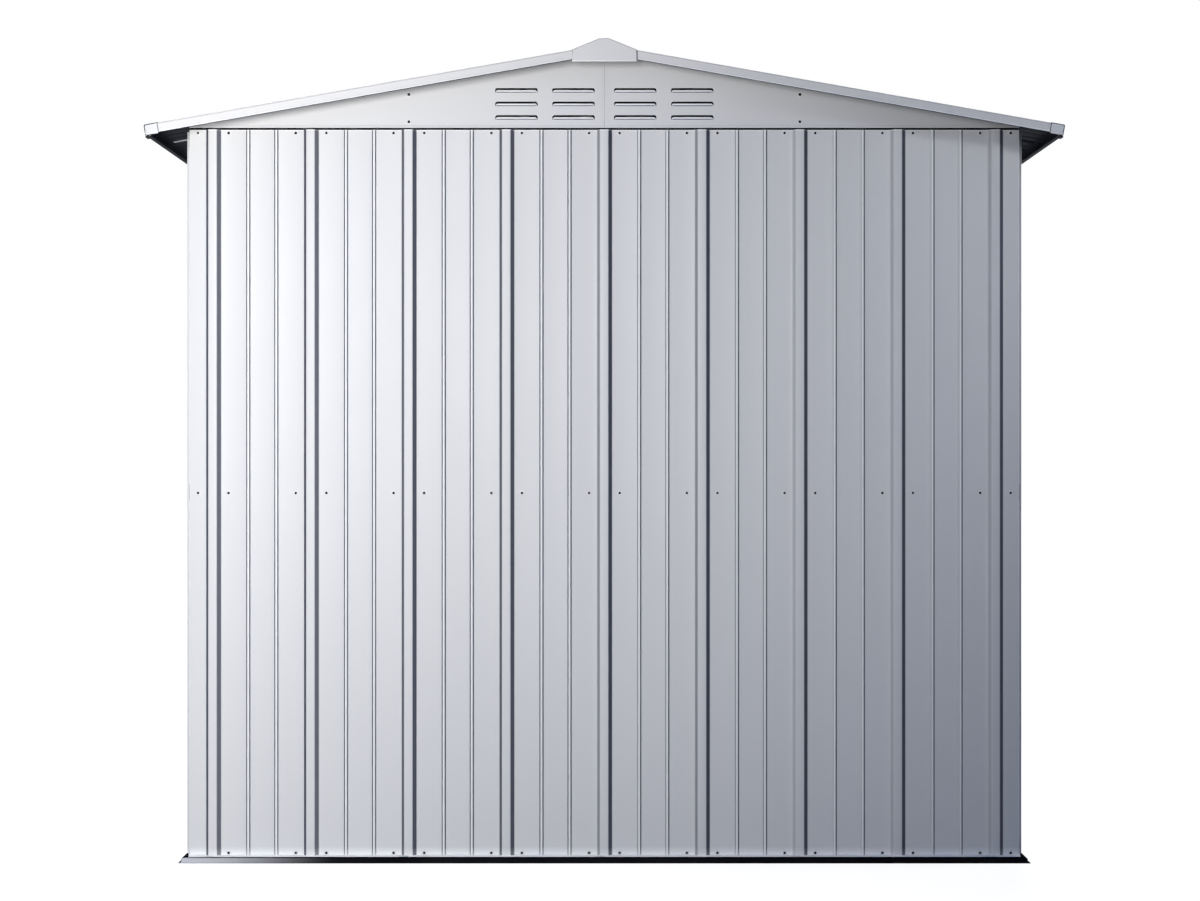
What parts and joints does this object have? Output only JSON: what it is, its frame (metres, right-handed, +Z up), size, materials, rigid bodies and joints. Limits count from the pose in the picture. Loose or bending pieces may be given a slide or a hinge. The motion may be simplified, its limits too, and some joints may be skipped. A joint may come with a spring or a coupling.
{
  "type": "metal storage shed",
  "caption": "Small gabled storage shed of ribbed sheet metal on a dark base rail, with louvred gables, trimmed shallow roof and plain double doors at the far end.",
  "frame": {"origin": "centre of the shed's footprint at ground level", "axes": "+X to the right across the gable in the picture, +Y from that gable to the far end, +Z up"},
  "size_m": [2.1434, 1.668, 1.926],
  "materials": {
    "wall_paint": "satin",
    "gable_paint": "satin",
    "roof_paint": "satin",
    "trim_paint": "satin",
    "base_paint": "satin",
    "rail_paint": "satin",
    "cap_plastic": "satin",
    "door_hardware": "satin"
  },
  "bodies": {
    "root": {"rear_wall_panel_1": "wall_paint", "rear_wall_panel_2": "wall_paint", "rear_wall_panel_3": "wall_paint", "rear_wall_panel_4": "wall_paint", "left_wall_panel_1": "wall_paint", "left_wall_panel_2": "wall_paint", "left_wall_panel_3": "wall_paint", "right_wall_panel_1": "wall_paint", "right_wall_panel_2": "wall_paint", "right_wall_panel_3": "wall_paint", "front_wall_panel_left": "wall_paint", "front_wall_panel_right": "wall_paint", "corner_panel_rear_left": "wall_paint", "corner_panel_rear_right": "wall_paint", "corner_panel_front_left": "wall_paint", "corner_panel_front_right": "wall_paint", "door_header": "wall_paint", "door_leaf_left": "wall_paint", "door_leaf_right": "wall_paint", "rear_gable_left": "gable_paint", "rear_gable_right": "gable_paint", "front_gable_left": "gable_paint", "front_gable_right": "gable_paint", "left_roof_panel_1": "roof_paint", "left_roof_panel_2": "roof_paint", "left_roof_panel_3": "roof_paint", "right_roof_panel_1": "roof_paint", "right_roof_panel_2": "roof_paint", "right_roof_panel_3": "roof_paint", "ridge_cap": "roof_paint", "bargeboard_rear_left": "trim_paint", "bargeboard_rear_right": "trim_paint", "bargeboard_front_left": "trim_paint", "bargeboard_front_right": "trim_paint", "eave_trim_left": "trim_paint", "eave_trim_right": "trim_paint", "base_rail_rear": "base_paint", "base_rail_front": "base_paint", "base_rail_left": "base_paint", "base_rail_right": "base_paint", "gable_rails": "rail_paint", "eave_rails": "rail_paint", "mid_rails": "rail_paint", "purlins": "rail_paint", "ridge_end_caps": "cap_plastic", "roof_corner_caps": "cap_plastic", "door_hinges": "door_hardware", "door_handles": "door_hardware"}
  },
  "joints": []
}
